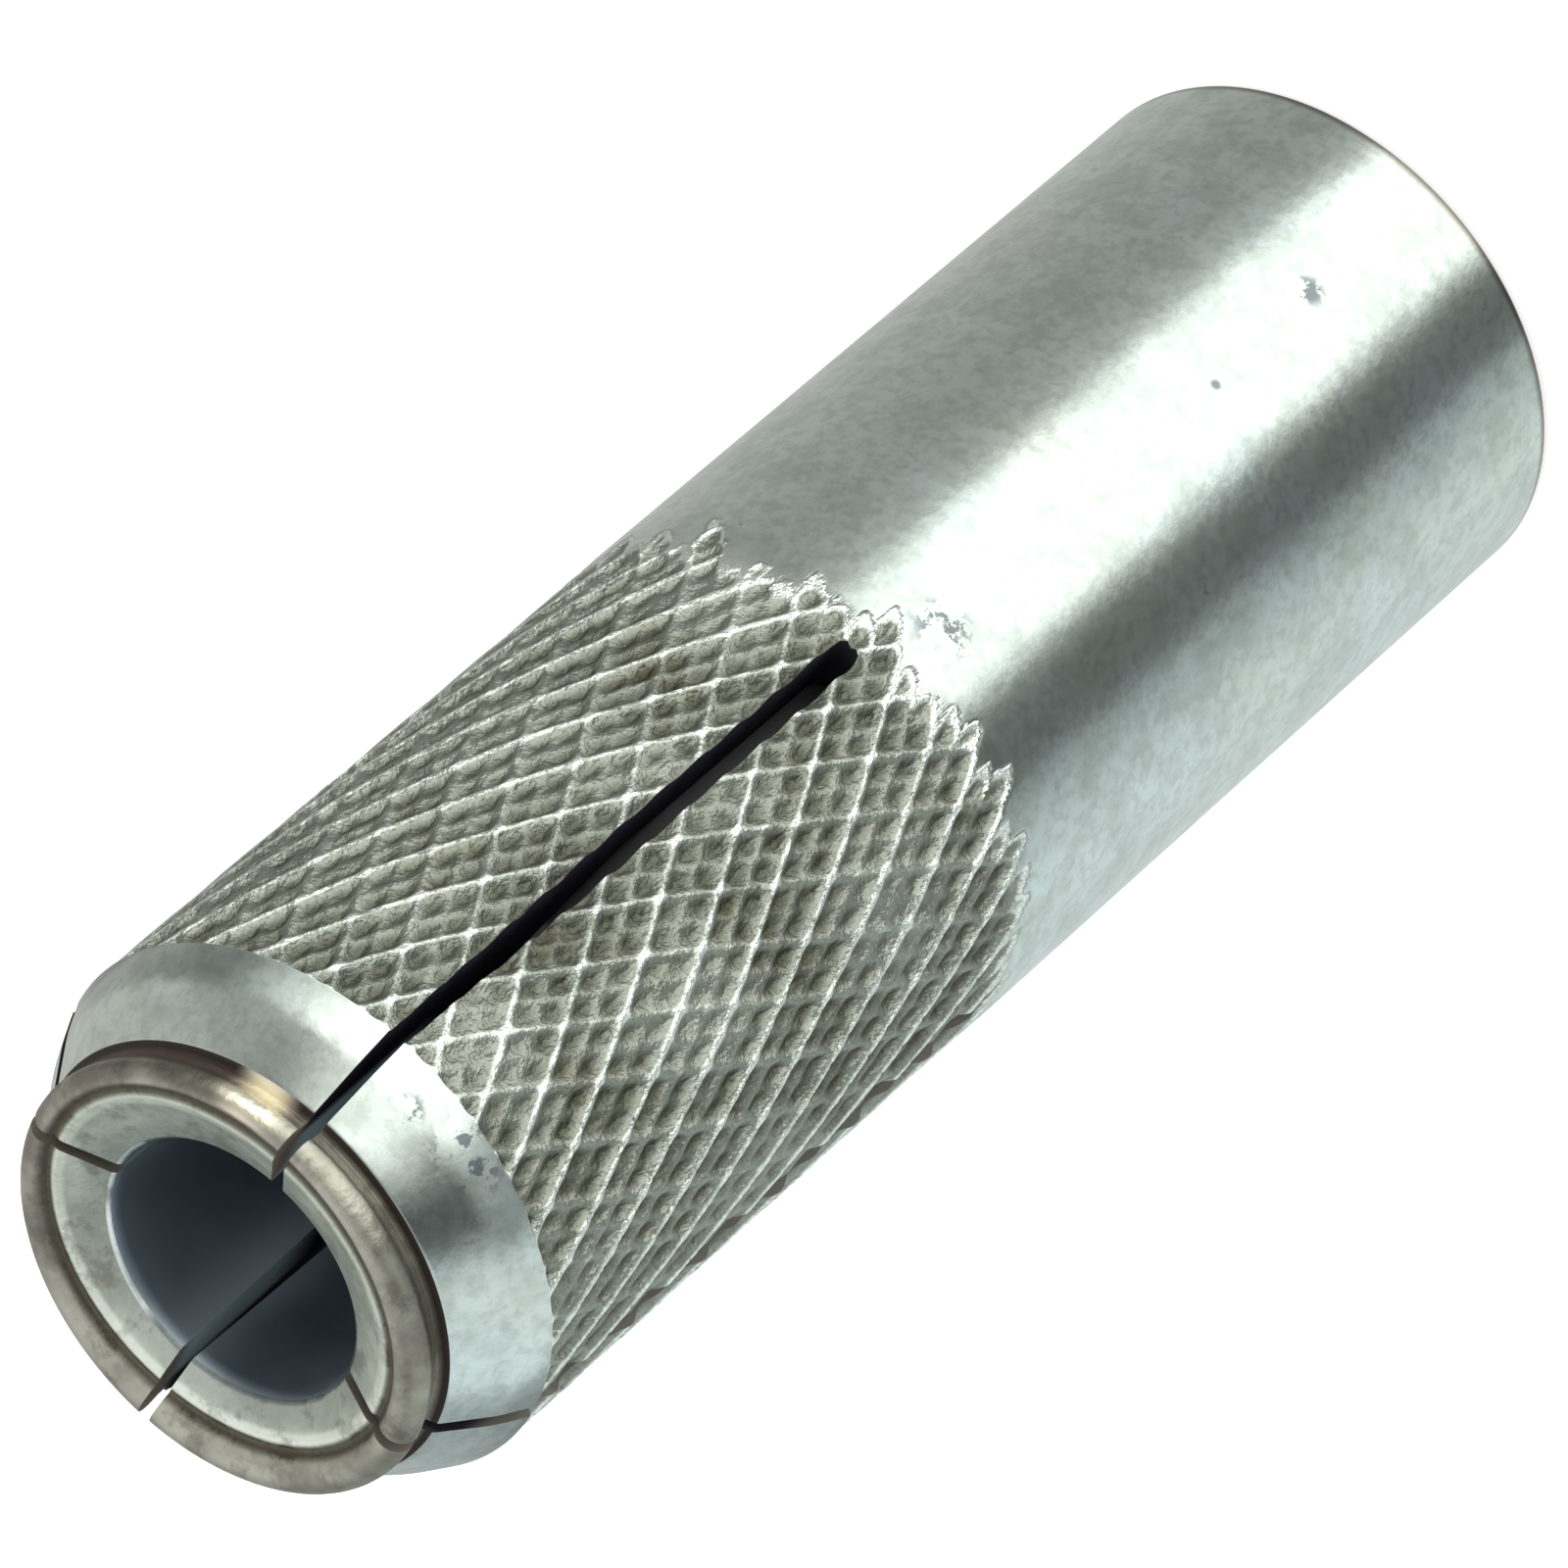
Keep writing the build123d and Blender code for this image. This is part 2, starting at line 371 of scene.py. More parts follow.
def boreSheet(patches, nose):
    # Inside from the thread's end to the nose bore: land, shoulder, plug chamber and taper
    b = boreShape
    blind, relax, endRound = slotShape["start"], slotShape["relax"], slotShape["endRound"]
    outline = np.array((
        (threadShape["minor"], threadShape["end"]), (threadShape["minor"], b["chamberFrom"]),
        (b["chamberRadius"], b["chamberFrom"]), (b["chamberRadius"], b["chamberFrom"] + 1),
        (b["chamberRadius"], blind - relax / 2), (b["chamberRadius"], blind),
        (b["chamberRadius"], blind + endRound * 0.4), (b["chamberRadius"], blind + endRound),
        (b["chamberRadius"], b["taperFrom"]), (noseShape["boreRadius"], b["taperTo"]),
        (noseShape["boreRadius"], b["boreMiddle"]), (noseShape["boreRadius"], b["boreTop"]),
    ))
    radius, height = outline[:, :1], outline[:, 1:]
    blindRow = int(np.argmin(np.abs(height[:, 0] - blind)))
    columns, edge = b["columns"], b["edgeColumn"]
    quarters = []
    for number in range(4):
        angle = number * pi / 2 + quarterAngles(height, radius, columns, edge, b["freeColumn"])
        numbers = patches.place(turned(radius, angle, height))
        patches.tiles(numbers[:blindRow + 1], boreNumber)
        patches.tiles(numbers[blindRow:, edge:columns - edge + 1], boreNumber)
        last = numbers[-1, edge:columns - edge + 1]
        above = nose[number][-1]
        patches.stitch(last, above, np.linspace(0, 1, len(last)), np.linspace(0, 1, len(above)), boreNumber)
        quarters.append(numbers)
    return quarters, blindRow


def slotWalls(patches, knurl, knurlBlind, nose, tip, bore, boreBlind):
    # Flat walls of each slot, between the outside chain of points and the inside one, and its blind end
    edge, columns = sleeveShape["edgeColumn"], sleeveShape["columns"]
    boreEdge, boreColumns = boreShape["edgeColumn"], boreShape["columns"]
    for number in range(4):
        for side in (0, 1):
            column = columns - edge if side else edge
            boreColumn = boreColumns - boreEdge if side else boreEdge
            noseColumn = -1 if side else 0
            outside = np.concatenate((knurl[number][knurlBlind:, column],
                                      nose[number][:tip + 1, noseColumn]))
            inside = np.concatenate((bore[number][boreBlind:, boreColumn],
                                     nose[number][tip:, noseColumn][::-1]))
            levels = [np.maximum.accumulate(patches.points[chain, 2]) for chain in (outside, inside)]
            patches.stitch(outside, inside, *levels, sawnNumber)
        before = (number - 1) % 4
        outside = np.concatenate((knurl[before][knurlBlind, columns - edge:],
                                  knurl[number][knurlBlind, 1:edge + 1]))
        inside = np.concatenate((bore[before][boreBlind, boreColumns - boreEdge:],
                                 bore[number][boreBlind, 1:boreEdge + 1]))
        places = [np.linspace(0, 1, len(chain)) for chain in (outside, inside)]
        patches.stitch(outside, inside, *places, sawnNumber)


def threadSheet(patches, rimRing, rimAround):
    # Right-hand thread cut into the bore. Rows follow the helix: height = pitch (row + angle / full turn),
    # held between the mouth and the thread's end. The radius goes from root to crest and back in every
    # pitch, is never under the mouth's countersink, and dies away where the tap's lead stopped
    t = threadShape
    root, crest = t["rootFlat"], t["crestFlat"]
    flank = (1 - root - crest) / 2
    marks = np.array((0, root / 2, root, root + flank / 2, root + flank, 1 - flank, 1 - flank / 2))
    rise = np.array((t["rootRise"], 0, t["rootRise"], 0.5, 1, 1, 0.5))   # at each mark of one pitch
    turns = int(np.ceil(t["end"] / t["pitch"])) + 2
    row = (np.arange(turns)[:, None] - 1 + marks).ravel()[:, None]
    rise = np.tile(rise, turns)[:, None]
    around = np.linspace(0, 2 * pi, 4 * boreShape["columns"] + 1)
    height = np.clip(t["pitch"] * (row - t["lead"] + around / (2 * pi)), 0, t["end"])
    height[-1] = t["end"]
    height[0] = 0
    depth = t["major"] - t["minor"]
    fade = np.clip((t["fadeTo"] - height) / (t["fadeTo"] - t["fadeFrom"]), 0, 1)
    radius = np.minimum(t["major"] - depth * rise, t["minor"] + depth * fade)
    radius = np.maximum(radius, t["minor"] + t["mouthCut"] - height)
    numbers = patches.place(turned(radius, around, height))
    patches.tiles(numbers, boreNumber)
    patches.stitch(numbers[0], rimRing, around, rimAround, plateNumber)


def anchorSleeve(finishes):
    patches = Patchwork()
    knurl, knurlBlind = knurlSheet(patches)
    rimRing, rimAround = plainSheet(patches, knurl)
    nose, tip = noseSheet(patches, knurl)
    bore, boreBlind = boreSheet(patches, nose)
    slotWalls(patches, knurl, knurlBlind, nose, tip, bore, boreBlind)
    threadSheet(patches, rimRing, rimAround)
    return patches.piece("anchorSleeve", finishes)


# Expander plug, where the frame's plug is
plugShape = {
    "radius": plugHigh.x / mm, "back": plugLow.z / mm, "front": plugHigh.z / mm, "columns": 96,
    "backCut": 0.1, "coneLength": 2.8, "coneSlope": 0.3025, "coneCut": 0.2, "tipCut": 0.3, "cutSteps": 6,
}


def expanderPlug(finishes):
    # Turned slug: a closed outline of softened corners from pole to pole, spun round the axis
    p = plugShape
    tipRadius = p["radius"] - p["coneSlope"] * p["coneLength"]
    outline = softened((
        (0, p["back"], 0), (p["radius"] * 0.5, p["back"], 0), (p["radius"], p["back"], p["backCut"]),
        (p["radius"], p["front"] - p["coneLength"], p["coneCut"]), (tipRadius, p["front"], p["tipCut"]),
        (tipRadius * 0.4, p["front"], 0), (0, p["front"], 0),
    ), p["cutSteps"])
    around = np.linspace(0, 2 * pi, p["columns"] + 1)
    patches = Patchwork()
    patches.tiles(patches.place(turned(outline[:, :1], around, outline[:, 1:])), 0)
    return patches.piece("expanderPlug", finishes)


class Signal:
    # One output socket. Arithmetic between signals and numbers adds Math nodes
    def __init__(self, finish, socket):
        self.finish = finish
        self.socket = socket

    def other(self, output):
        # Another output of the same node
        return Signal(self.finish, self.socket.node.outputs[output])

    def maths(self, operation, first, second):
        return self.finish.node("ShaderNodeMath", {"operation": operation}, {0: first, 1: second})

    def __add__(self, other):
        return self.maths("ADD", self, other)

    def __radd__(self, other):
        return self.maths("ADD", other, self)

    def __sub__(self, other):
        return self.maths("SUBTRACT", self, other)

    def __rsub__(self, other):
        return self.maths("SUBTRACT", other, self)

    def __mul__(self, other):
        return self.maths("MULTIPLY", self, other)

    def __rmul__(self, other):
        return self.maths("MULTIPLY", other, self)

    def __truediv__(self, other):
        return self.maths("DIVIDE", self, other)

    def __rtruediv__(self, other):
        return self.maths("DIVIDE", other, self)

    def __pow__(self, other):
        return self.maths("POWER", self, other)

    def __rpow__(self, other):
        return self.maths("POWER", other, self)


class Finish:
    # The node tree of one material, or of the world
    def __init__(self, owner):
        self.owner = owner
        owner.use_nodes = True
        self.tree = owner.node_tree
        self.tree.nodes.clear()

    def node(self, kind, settings=None, inputs=None, output=0):
        # Adds a node, with its settings first and then its sockets' values or links
        made = self.tree.nodes.new(kind)
        for name, value in (settings or {}).items():
            setattr(made, name, value)
        for name, value in (inputs or {}).items():
            if isinstance(value, Signal):
                self.tree.links.new(value.socket, made.inputs[name])
            else:
                made.inputs[name].default_value = value
        return Signal(self, made.outputs[output]) if len(made.outputs) else None

    def done(self, shader, kind="ShaderNodeOutputMaterial"):
        # Adds the tree's output, and gives back the material or world
        self.node(kind, {}, {"Surface": shader})
        return self.owner

    def surface(self, sockets):
        return self.done(self.node("ShaderNodeBsdfPrincipled", {}, sockets))

    def place(self):
        return self.node("ShaderNodeTexCoord", output="Object")

    def parts(self, where):
        # x, y and z of a place, and its distance from the anchor's axis
        x = self.node("ShaderNodeSeparateXYZ", {}, {"Vector": where}, "X")
        y, z = x.other("Y"), x.other("Z")
        return x, y, z, (x * x + y * y) ** 0.5

    def spot(self, where, centre, reach):
        # 1 at the centre, falling to 0 at the reach; both in millimetres
        centre = [value * mm for value in centre]
        away = self.node("ShaderNodeVectorMath", {"operation": "DISTANCE"}, {0: where, 1: centre}, "Value")
        return self.between(away, reach * mm, reach * 0.35 * mm)

    def noise(self, where, scale, detail=3.0, roughness=0.55):
        sockets = {"Vector": where, "Scale": scale, "Detail": detail, "Roughness": roughness}
        return self.node("ShaderNodeTexNoise", {}, sockets, "Fac")

    def between(self, value, low, high):
        # 0 below low, 1 above high, with a soft step between
        return self.node("ShaderNodeMapRange", {"interpolation_type": "SMOOTHSTEP"},
                         {"Value": value, "From Min": low, "From Max": high})

    def mix(self, share, first, second):
        # Colour mix: first where share is 0, second where it is 1. Plain colours get full alpha here
        first, second = (tint if isinstance(tint, Signal) else (*tint, 1) for tint in (first, second))
        return self.node("ShaderNodeMix", {"data_type": "RGBA"}, {"Factor": share, 6: first, 7: second}, 2)

    def bump(self, height, strength):
        sockets = {"Height": height, "Distance": 0.02 * mm, "Strength": strength}
        return self.node("ShaderNodeBump", {}, sockets)


# Plate on the outside: its tints, and where the marks are, each with its reach
plateLook = {
    "pale": (0.60, 0.66, 0.62), "cool": (0.60, 0.69, 0.69), "mottled": (0.43, 0.49, 0.445),
    "grained": (0.38, 0.42, 0.40), "knurled": (0.31, 0.335, 0.295), "stained": (0.21, 0.21, 0.17),
    "worn": (0.82, 0.88, 0.83), "pitted": (0.085, 0.085, 0.06), "smudged": (0.09, 0.10, 0.13),
    "browned": (0.17, 0.145, 0.12),
    "smudges": (((-0.76, -4.76, 14.25), 0.75), ((-2.0, -4.2, 28.0), 0.9),
                ((-0.9, -4.42, 28.25), 0.35), ((-0.5, -4.8, 3.6), 0.4)),
    "nick": ((-0.67, -4.77, 6.5), 0.14), "specks": ((-0.8, -4.75, 3.8), 0.22),
}


def zincPlate():
    # Bright zinc plate: pale, faintly green-blue, mottled, with specks and smudges, and a darker brown band
    # round the rim.
    # In the knurl it is olive-grey and duller, bright on the crests as wear and painted highlight, and dark
    # in the pits as painted shade and dirt
    look = plateLook
    finish = Finish(bpy.data.materials.new("zincPlate"))
    where = finish.place()
    along, out = finish.parts(where)[2:]
    crest, start, end = (sleeveShape[name] * mm for name in ("radius", "knurlStart", "knurlEnd"))
    inKnurl = finish.between(along, start, start + 0.056 * mm)
    inKnurl = inKnurl * finish.between(along, end + 0.03 * mm, end - 0.05 * mm)
    inKnurl = inKnurl * finish.between(out, crest - 0.004 * mm, crest - 0.016 * mm)
    cloud = finish.noise(where, 260, 4)
    mottle = finish.noise(where, 1100, 5, 0.65)
    grain = finish.noise(where, 4200, 3, 0.65)
    stain = finish.between(finish.noise(where, 620, 5, 0.7), 0.5, 0.72)
    speck = finish.between(finish.noise(where, 1900, 3, 0.6), 0.7, 0.8)
    smudge = sum(finish.spot(where, *mark) for mark in look["smudges"])
    smudge = smudge * finish.between(finish.noise(where, 2400, 4, 0.7), 0.5, 0.56)
    nick = finish.spot(where, *look["nick"]) + finish.spot(where, *look["specks"]) * speck
    # Crests: a brighter colour near the knurl's crests, partly wear and partly a painted highlight
    worn = inKnurl * finish.between(out + mottle * 0.05 * mm, crest - 0.044 * mm, crest - 0.002 * mm)
    # Pits: painted shade and dirt, darker the deeper a point lies below the crest
    pitShadeAndDirt = inKnurl * finish.between(out + mottle * 0.08 * mm, crest - 0.04 * mm, crest - 0.16 * mm)
    # A darker brown band round the mouth's rim
    rim = finish.between(along, 0.24 * mm, 0.08 * mm) * finish.between(out, 4.55 * mm, 4.75 * mm)
    tint = finish.mix(finish.between(cloud, 0.3, 0.7), look["pale"], look["cool"])
    tint = finish.mix(finish.between(mottle, 0.42, 0.62) * 0.55, tint, look["mottled"])
    tint = finish.mix(finish.between(grain, 0.4, 0.7) * 0.5, tint, look["grained"])
    tint = finish.mix(inKnurl, tint, finish.mix(stain, look["knurled"], look["stained"]))
    tint = finish.mix(worn, tint, look["worn"])
    # The pits' painted shade and the real dark specks share one near-black colour
    tint = finish.mix(pitShadeAndDirt * (0.75 + stain * 0.25) + speck * 0.45, tint, look["pitted"])
    tint = finish.mix(smudge * 0.8 + nick * 0.8, tint, look["smudged"])
    tint = finish.mix(rim * 0.9, tint, look["browned"])
    rough = 0.15 + cloud * 0.06 + mottle * 0.1 + inKnurl * 0.22 - worn * 0.08 + pitShadeAndDirt * 0.1 + smudge * 0.1
    bumps = grain * (0.3 + inKnurl * 14) + cloud * 2 + mottle * (0.6 + inKnurl * 18)
    return finish.surface({"Base Color": tint, "Metallic": 1.0, "Roughness": rough,
                           "Normal": finish.bump(bumps, 0.4)})


noseLook = {
    "brown": (0.20, 0.185, 0.16), "brownPale": (0.40, 0.40, 0.34), "green": (0.34, 0.37, 0.31),
    "greenPale": (0.54, 0.59, 0.52), "nearBore": (0.25, 0.28, 0.26), "lip": (0.74, 0.78, 0.70),
    "dirt": (0.085, 0.075, 0.055), "rust": (0.16, 0.12, 0.115), "line": (0.05, 0.04, 0.035),
    "glint": (1.0, 0.93, 0.74), "boreEdge": (0.16, 0.18, 0.20), "scuff": (0.85, 0.90, 0.90),
    "rustSide": (0.89, -0.46), "glintAt": ((0.95, -3.78, 29.55), 0.75),
}


def nosePlate():
    # The same plate where it was crimped: brownish grey on the bead, painted shade in the groove below it
    # and in the valley round the face, with dark dirt patches, greenish grey inside the valley, and painted
    # glints along the bore's edge
    look, n = noseLook, noseShape
    finish = Finish(bpy.data.materials.new("nosePlate"))
    where = finish.place()
    x, y, along, out = finish.parts(where)
    turn = radians(n["valleyTurn"])
    ring = (x * cos(turn) + y * sin(turn)) / out * (n["valleySway"] * mm)
    beyond = out - ring - n["valleyRadius"] * mm   # how far a point lies outside the valley's floor
    cloud = finish.noise(where, 520, 4, 0.6)
    mottle = finish.noise(where, 1300, 5, 0.7)
    grain = finish.noise(where, 3200, 3, 0.6)
    patchy = finish.between(cloud, 0.35, 0.65)
    pale = finish.mix(patchy, look["green"], look["greenPale"])
    pale = finish.mix(finish.between(out, 3.05 * mm, 2.6 * mm) * 0.6, pale, look["nearBore"])
    lip = finish.between(beyond, -0.34 * mm, -0.24 * mm) * finish.between(beyond, -0.08 * mm, -0.16 * mm)
    pale = finish.mix(lip * 0.7, pale, look["lip"])
    brown = finish.mix(patchy, look["brown"], look["brownPale"])
    tint = finish.mix(finish.between(beyond, -0.02 * mm, 0.06 * mm), pale, brown)
    # Painted shade in the crimp valley round the face, in the dirt colour, which also lays dark dirt
    # patches all over
    valleyShade = finish.between(beyond, -0.14 * mm, -0.03 * mm) * finish.between(beyond, 0.15 * mm, 0.04 * mm)
    dirt = finish.between(mottle, 0.5, 0.66)
    tint = finish.mix(valleyShade * 0.95 + dirt * 0.45, tint, look["dirt"])
    outside = finish.between(out, 3.6 * mm, 3.7 * mm)
    # Painted shade in the groove below the bead: dark reddish brown on one side
    onShadedSide = finish.between((x * look["rustSide"][0] + y * look["rustSide"][1]) / out, 0.1, 0.9)
    groove = outside * finish.between(along + grain * 0.05 * mm, 29.5 * mm, n["footHeight"] * mm)
    tint = finish.mix(groove * onShadedSide * 0.9, tint, look["rust"])
    # A near-black line of painted shade along the groove's bottom, all round
    line = finish.between(along, n["grooveHeight"] * mm, (n["grooveHeight"] - 0.05) * mm)
    tint = finish.mix(outside * line, tint, look["line"])
    glint = finish.spot(where, *look["glintAt"]) * finish.between(out, 3.72 * mm, 3.8 * mm)
    tint = finish.mix(glint, tint, look["glint"])
    edge = finish.between(out, (n["boreRadius"] + 0.08) * mm, (n["boreRadius"] + 0.04) * mm)
    # Painted glints: bright patches along the bore's edge
    scuff = edge * finish.between(finish.noise(where, 420, 2), 0.52, 0.6)
    tint = finish.mix(edge * 0.6, tint, look["boreEdge"])
    tint = finish.mix(scuff, tint, look["scuff"])
    rough = 0.3 + mottle * 0.24 + groove * 0.2 - glint * 0.15
    return finish.surface({"Base Color": tint, "Metallic": 1.0, "Roughness": rough,
                           "Normal": finish.bump(grain + cloud * 3 + mottle * 3, 0.6)})


steelLook = {
    # The bore's dark slate and the slot walls' near black are painted shade inside the sleeve
    "bore": ((0.28, 0.33, 0.39), (0.44, 0.52, 0.58)), "sawn": ((0.025, 0.023, 0.035), (0.06, 0.055, 0.075)),
    "sawnBore": (0.52, 0.62, 0.65), "sawnTip": (0.28, 0.25, 0.21), "dusty": (0.26, 0.25, 0.22),
    # plug: near black, as painted shade inside the sleeve
    "plug": ((0.045, 0.045, 0.05), (0.08, 0.08, 0.086)),
}


def boreSteel():
    # Inside of the bore: dark slate, dull. The dark colour is painted shade inside the hollow
    finish = Finish(bpy.data.materials.new("boreSteel"))
    cloud = finish.noise(finish.place(), 500, 4)
    tint = finish.mix(cloud, *steelLook["bore"])
    return finish.surface({"Base Color": tint, "Metallic": 1.0, "Roughness": 0.42 + cloud * 0.15,
                           "Normal": finish.bump(cloud, 0.3)})


def sawnSteel():
    # Slot walls: saw marked, nearly black with a violet cast as painted shade in the narrow slots, teal in
    # the nose bore and brown at the tip.
    # The slot on the minus x side, which the camera sees nearly edge on, is paler at the outside
    finish = Finish(bpy.data.materials.new("sawnSteel"))
    where = finish.place()
    x, _, along, out = finish.parts(where)
    marks = finish.noise(where, 2200, 2)
    inBore = finish.between(out, 3.7 * mm, 3.3 * mm) * finish.between(along, 25.5 * mm, 27.0 * mm)
    # Near black: painted shade in the narrow slots
    tint = finish.mix(marks, *steelLook["sawn"])
    tint = finish.mix(inBore, tint, steelLook["sawnBore"])
    tint = finish.mix(finish.between(along, 29.0 * mm, 29.5 * mm), tint, steelLook["sawnTip"])
    tint = finish.mix(finish.between(x, -4.2 * mm, -4.5 * mm), tint, steelLook["dusty"])
    return finish.surface({"Base Color": tint, "Metallic": inBore, "Specular IOR Level": 0.0,
                           "Roughness": 0.8, "Normal": finish.bump(marks, 0.4)})


def plugSteel():
    # Turned plug, near black: its dark colour is painted shade inside the sleeve
    finish = Finish(bpy.data.materials.new("plugSteel"))
    cloud = finish.noise(finish.place(), 600, 4)
    tint = finish.mix(cloud, *steelLook["plug"])
    return finish.surface({"Base Color": tint, "Metallic": 1.0, "Roughness": 0.48 + cloud * 0.12,
                           "Normal": finish.bump(cloud, 0.3)})


# Camera at the photograph's viewing angle, rolled so that the nose points to the lower left
cameraSet = {
    "azimuth": -12.53, "elevation": 38.94, "roll": 130.97, "distance": 215.5, "aimHeight": 14.87,
    "aimSide": 0.085, "lens": 306.9, "clipStart": 10,
}


def towards(azimuth, elevation):
    # Unit vector from the anchor to that azimuth and elevation, with azimuth 0 on the minus y side
    azimuth, elevation = radians(azimuth), radians(elevation)
    return Vector((sin(azimuth) * cos(elevation), -cos(azimuth) * cos(elevation), sin(elevation)))


def standCamera():
    # The camera's own right, up and back directions are the columns of its turn
    back = towards(cameraSet["azimuth"], cameraSet["elevation"])
    roll = radians(cameraSet["roll"])
    side = Vector((0, 0, 1)).cross(back).normalized()
    above = back.cross(side)
    up = cos(roll) * above + sin(roll) * side
    right = cos(roll) * side - sin(roll) * above
    aim = Vector((cameraSet["aimSide"], 0, cameraSet["aimHeight"])) * mm
    place = Matrix.Translation(aim + back * cameraSet["distance"] * mm)
    made = putInScene("camera", bpy.data.cameras.new("camera"))
    made.data.lens = cameraSet["lens"]
    made.data.clip_start = cameraSet["clipStart"] * mm
    made.matrix_world = place @ Matrix((right, up, back)).transposed().to_4x4()
    bpy.context.scene.camera = made


# Light tent: three rings of graded cards round the anchor, one for the straight outside, one for the collar
# and one for the cone. A stop is the turn from the camera's side, in degrees, and the card's brightness
# there. An edge is a line of turns and heights that two rings share
tentEdges = {
    "bottom": ((0, -300), (180, -300)),
    "waist": ((0, -45), (140, -60), (180, -90)),
    "shoulder": ((0, 76), (53, 61), (86, 43), (102, 28), (125, 8), (138, -8), (180, -50)),
    "top": ((0, 170), (180, 170)),
}
tentRings = {
    "lowRing": {"edges": ("bottom", "waist"), "stops": (
        (-180, 1.0), (-165, 0.8), (-140, 0.85), (-104, 1.0), (-80, 0.72), (-62, 0.47), (-57, 0.16),
        (-26, 0.15), (-20, 1.0), (-17, 2.0), (38, 2.0), (43, 0.52), (70, 0.38), (120, 0.52), (160, 0.6),
        (180, 0.95))},
    "middleRing": {"edges": ("waist", "shoulder"), "stops": (
        (-180, 0.6), (-135, 0.36), (-121, 0.4), (-112, 1.1), (-65, 1.05), (-54, 0.28), (-36, 0.5),
        (-24, 0.5), (-16, 1.5), (-8, 2.2), (46, 2.2), (56, 1.1), (84, 0.24), (104, 0.27), (125, 0.45),
        (180, 0.6))},
    "highRing": {"edges": ("shoulder", "top"), "stops": (
        (-180, 0.7), (-140, 0.5), (-118, 0.5), (-110, 1.05), (-66, 1.05), (-55, 0.5), (-49, 0.07),
        (-28, 0.07), (-16, 0.7), (-8, 1.1), (0, 1.8), (12, 1.8), (28, 1.2), (46, 0.34), (60, 0.4),
        (95, 0.65), (180, 0.72))},
}
tentSet = {"reach": 130, "capHeight": 170, "capGlow": 0.47, "coolFrom": 60,
           "plainTint": np.array((1.0, 1.0, 0.95)), "coolTint": np.array((0.94, 1.0, 0.99))}


def glowCard():
    finish = Finish(bpy.data.materials.new("tentCard"))
    glow = finish.node("ShaderNodeAttribute", {"attribute_name": "glow"}, {}, "Color")
    return finish.done(finish.node("ShaderNodeEmission", {}, {"Color": glow}))


def raiseTent():
    # Every ring is a cylinder wall, and the cap a disc. A ring's glow is read off its stops along straight
    # lines between them, and cools off towards the negative turns
    card = glowCard()
    turn = np.linspace(-180, 180, 361)
    around = np.radians(turn + cameraSet["azimuth"] - 90)
    cool = ease(-turn / tentSet["coolFrom"])[:, None]
    tint = tentSet["plainTint"] + cool * (tentSet["coolTint"] - tentSet["plainTint"])
    for name, ring in tentRings.items():
        edges = [np.interp(np.abs(turn), *np.array(tentEdges[edge]).T) for edge in ring["edges"]]
        glow = np.interp(turn, *np.array(ring["stops"]).T)[:, None]
        hangCard(name, turned(tentSet["reach"], around, np.array(edges)), card, glow * tint)
    cap = turned(np.array((0, tentSet["reach"]))[:, None], np.radians(turn), tentSet["capHeight"])
    hangCard("topCard", cap, card, np.full((len(turn), 3), tentSet["capGlow"]))


def hangCard(name, sheet, card, glow):
    # A two-row sheet of points with a glow for every column. It lights the metal alone: the camera and the
    # floor don't see it
    patches = Patchwork()
    patches.tiles(patches.place(sheet), 0)
    mesh = bpy.data.meshes.new(name)
    mesh.from_pydata(patches.points, [], patches.faces[0].tolist())
    colours = mesh.color_attributes.new("glow", "FLOAT_COLOR", "POINT")
    full = np.ones((*sheet.shape[:2], 4))
    full[..., :3] = glow
    colours.data.foreach_set("color", full.ravel())
    mesh.materials.append(card)
    made = putInScene(name, mesh)
    made.visible_camera = False
    made.visible_diffuse = False
    made.visible_shadow = False


floorSet = {"side": 3000, "drop": 0.02, "tint": (0.8, 0.8, 0.8, 1), "glow": 0.72}
skySet = {"plain": 0.3, "seen": 1.0, "tint": (1, 1, 1, 1)}
lampSet = {"turn": 150, "elevation": 75, "distance": 400, "size": 300, "power": 1.2}


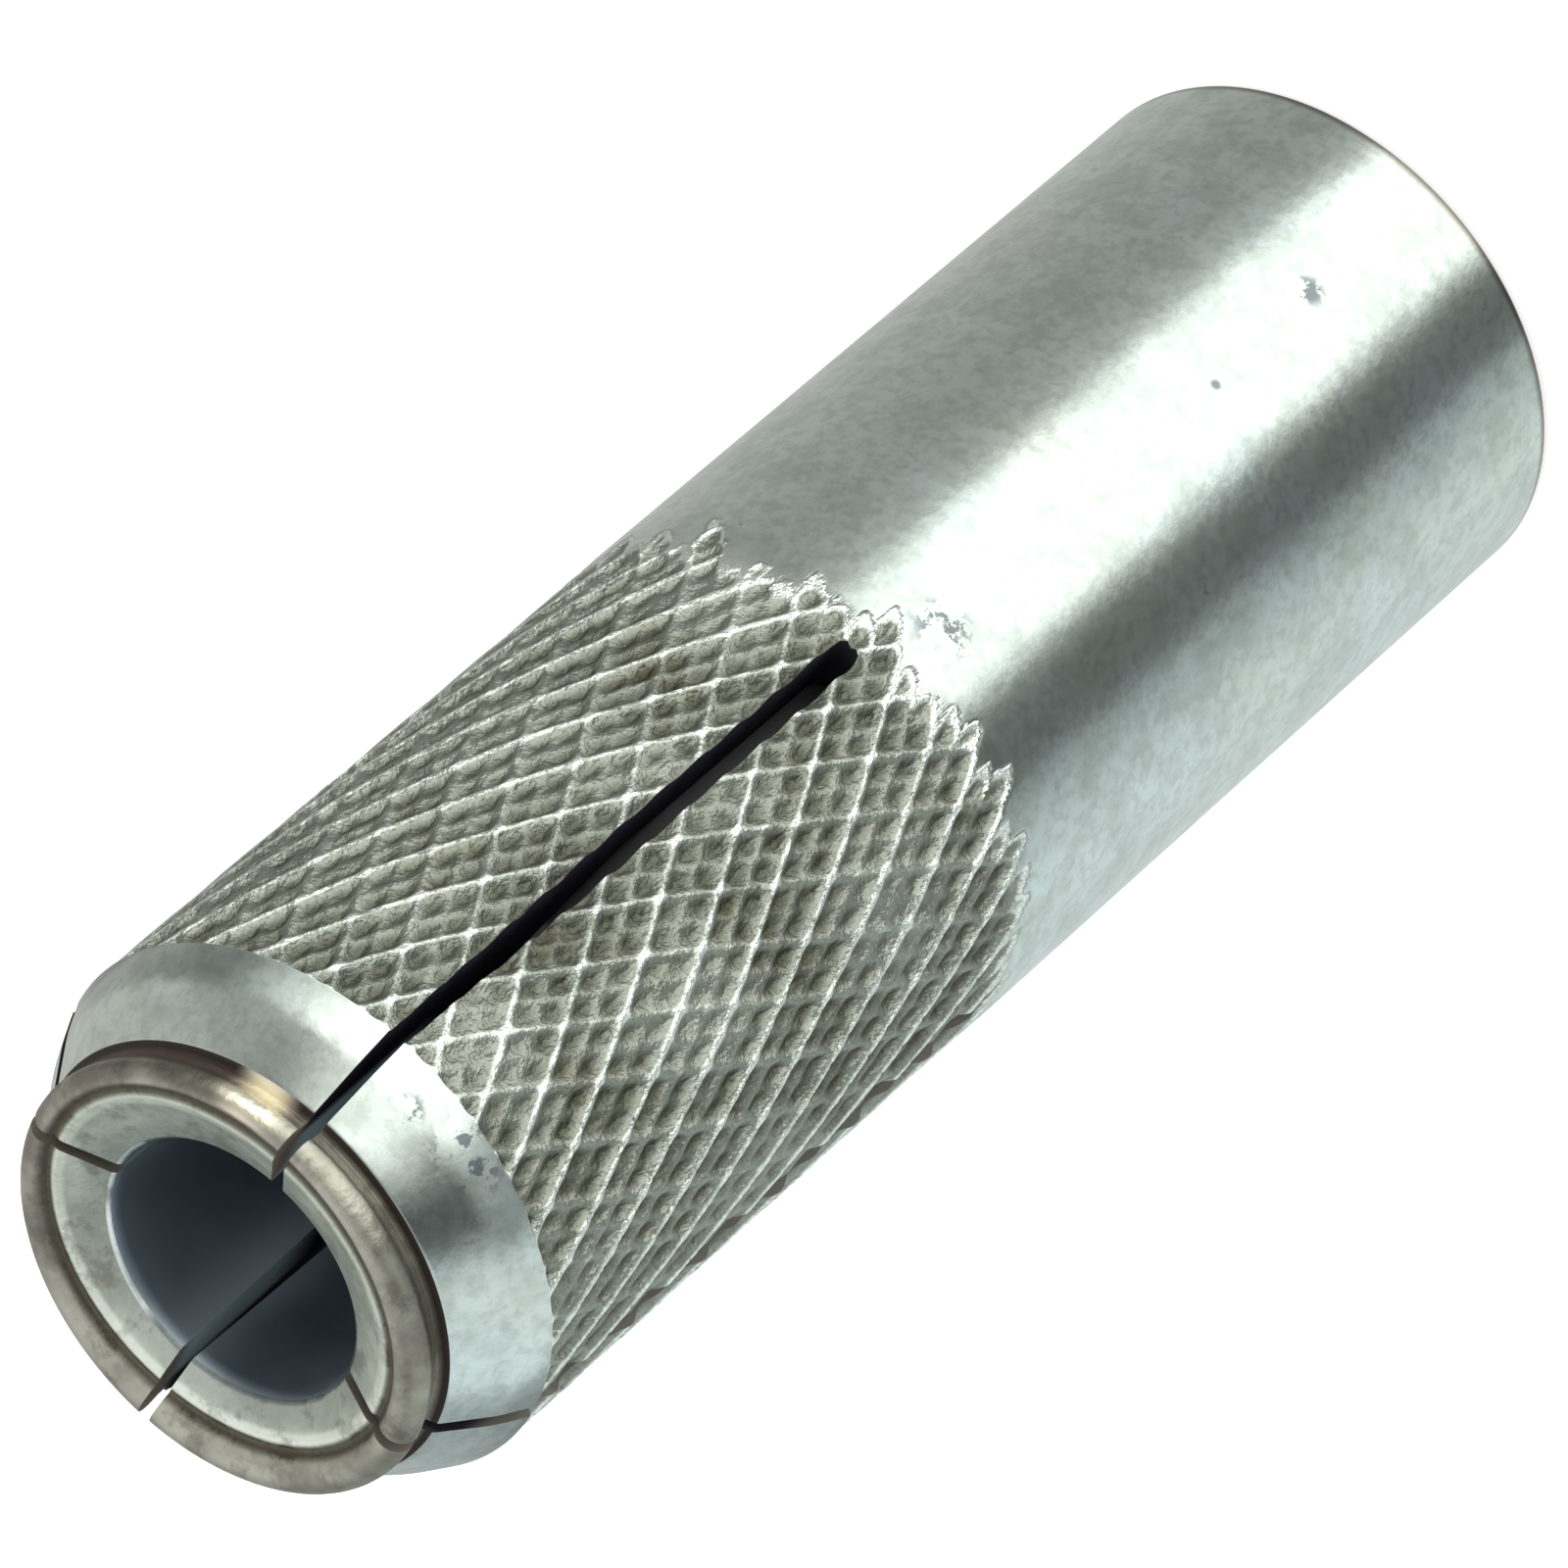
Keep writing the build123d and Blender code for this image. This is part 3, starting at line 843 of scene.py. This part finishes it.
def layFloor():
    # Pale square, a hair below the mouth so that the two faces don't coincide
    side, low = floorSet["side"] * mm, -floorSet["drop"] * mm
    mesh = bpy.data.meshes.new("floor")
    mesh.from_pydata([(-side, -side, low), (side, -side, low), (side, side, low), (-side, side, low)],
                     [], [(0, 1, 2, 3)])
    finish = Finish(bpy.data.materials.new("floorWhite"))
    lit = finish.node("ShaderNodeBsdfDiffuse", {}, {"Color": floorSet["tint"]})
    glow = finish.node("ShaderNodeEmission", {}, {"Color": (1, 1, 1, 1), "Strength": floorSet["glow"]})
    mesh.materials.append(finish.done(finish.node("ShaderNodeAddShader", {}, {0: lit, 1: glow})))
    made = putInScene("floor", mesh)
    made.visible_glossy = False
    made.visible_shadow = False


def lightWorld():
    # Plain grey light on the object, and white wherever the camera or a reflection sees the sky
    finish = Finish(bpy.data.worlds.new("tentWorld"))
    camera = finish.node("ShaderNodeLightPath", output="Is Camera Ray")
    seen = camera.maths("MAXIMUM", camera, camera.other("Is Glossy Ray"))
    seen = seen.maths("MAXIMUM", seen, camera.other("Is Transmission Ray"))
    strength = finish.node("ShaderNodeMapRange", {},
                           {"Value": seen, "To Min": skySet["plain"], "To Max": skySet["seen"]})
    sky = finish.node("ShaderNodeBackground", {}, {"Color": skySet["tint"], "Strength": strength})
    bpy.context.scene.world = finish.done(sky, "ShaderNodeOutputWorld")


def hangLamp():
    # Soft square lamp above and behind, facing the anchor
    lamp = bpy.data.lights.new("topLamp", "AREA")
    lamp.shape = "SQUARE"
    lamp.size = lampSet["size"] * mm
    lamp.energy = lampSet["power"]
    back = towards(cameraSet["azimuth"] + lampSet["turn"], lampSet["elevation"])
    place = Matrix.Translation(back * lampSet["distance"] * mm)
    made = putInScene("topLamp", lamp)
    made.matrix_world = place @ back.to_track_quat("Z", "Y").to_matrix().to_4x4()


standCamera()
sleeve = anchorSleeve([zincPlate(), boreSteel(), sawnSteel(), nosePlate()])
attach(sleeve, "sleeve")
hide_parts("sleeve")
triangles = sum(len(polygon.vertices) - 2 for polygon in sleeve.data.polygons)
print("sleeve:", triangles, "triangles")
plug = expanderPlug([plugSteel()])
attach(plug, "plug")
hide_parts("expander_plug")
print("plug made")
raiseTent()
layFloor()
lightWorld()
hangLamp()
bpy.context.scene.view_settings.view_transform = "Standard"
print("tent, floor, sky and lamp placed")
